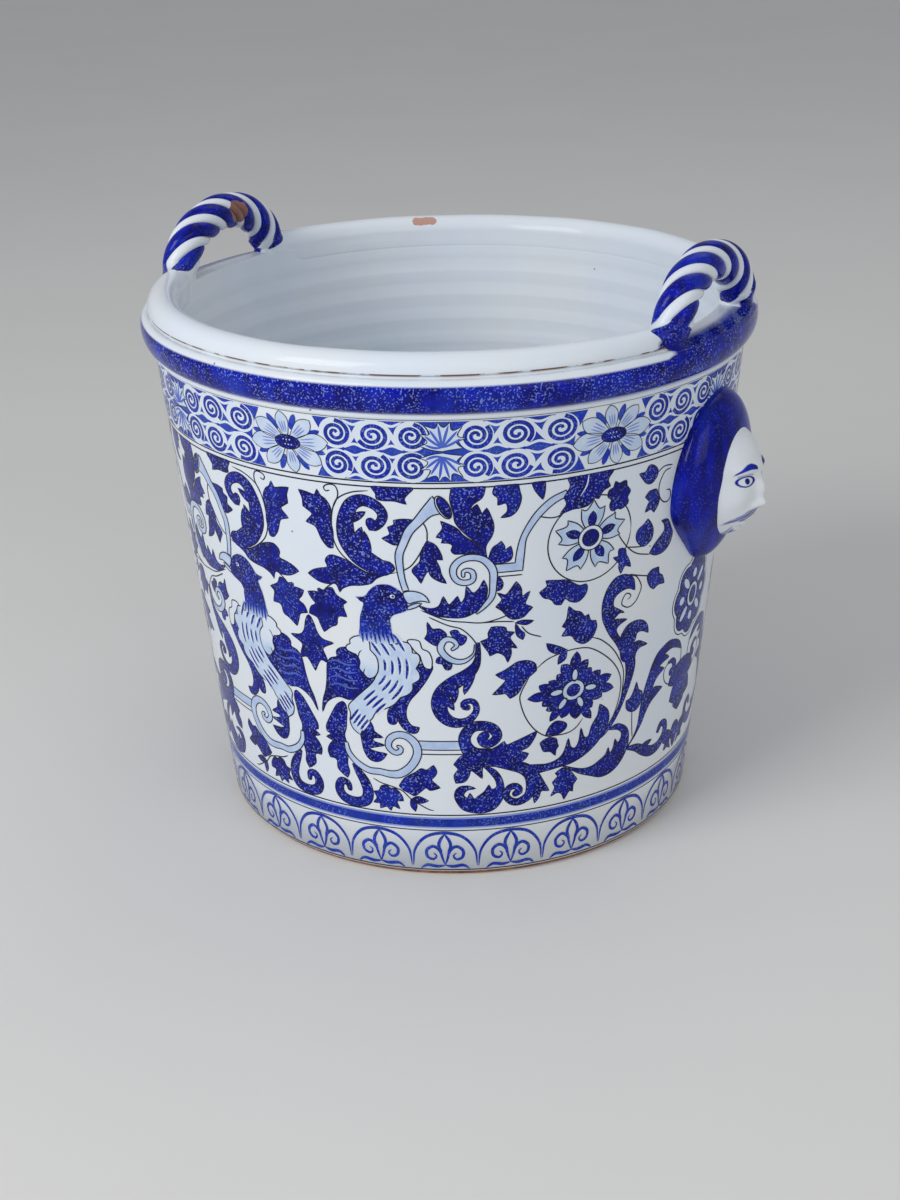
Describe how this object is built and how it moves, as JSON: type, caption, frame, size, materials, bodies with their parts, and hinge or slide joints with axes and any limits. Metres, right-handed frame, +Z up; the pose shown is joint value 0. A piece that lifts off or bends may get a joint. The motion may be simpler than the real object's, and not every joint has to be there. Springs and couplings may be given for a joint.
{
  "type": "cachepot",
  "caption": "Conical glazed earthenware cachepot with a rolled rim, upright rope handles and a mask under each handle, painted in cobalt blue scrolls.",
  "frame": {"origin": "on the table under the middle of the pot", "axes": "+Z up, +X through the right handle and its mask, so the painted front faces -Y"},
  "size_m": [0.488, 0.4344, 0.4269],
  "materials": {
    "painted_wall": "glossy tin glaze painted in cobalt",
    "inside_glaze": "glossy tin glaze",
    "white_glaze": "glossy tin glaze",
    "cobalt_roll": "glossy cobalt glaze with pale specks",
    "rope_cobalt": "glossy cobalt glaze",
    "rope_white": "glossy tin glaze",
    "pad_glaze": "glossy tin glaze with cobalt patches",
    "mane_cobalt": "glossy cobalt glaze in brush strokes",
    "face_glaze": "glossy tin glaze with cobalt brush lines",
    "bare_clay": "unglazed earthenware"
  },
  "bodies": {
    "root": {"foot_ring": "bare_clay", "floor_slab": "inside_glaze", "body_wall": "painted_wall", "collar_roll": "cobalt_roll", "neck_bead": "white_glaze", "lip_back": "white_glaze", "lip_front": "white_glaze", "right_handle_core": "white_glaze", "right_strand_1": "rope_cobalt", "right_strand_2": "rope_white", "right_strand_3": "rope_cobalt", "right_strand_4": "rope_white", "right_strand_5": "rope_cobalt", "right_strand_6": "rope_white", "right_pad_back": "pad_glaze", "right_pad_front": "pad_glaze", "right_mask_mane": "mane_cobalt", "right_mask_face": "face_glaze", "left_handle_core": "white_glaze", "left_strand_1": "rope_cobalt", "left_strand_2": "rope_white", "left_strand_3": "rope_cobalt", "left_strand_4": "rope_white", "left_strand_5": "rope_cobalt", "left_strand_6": "rope_white", "left_pad_back": "pad_glaze", "left_pad_front": "pad_glaze", "left_mask_mane": "mane_cobalt", "left_mask_face": "face_glaze"}
  },
  "joints": []
}
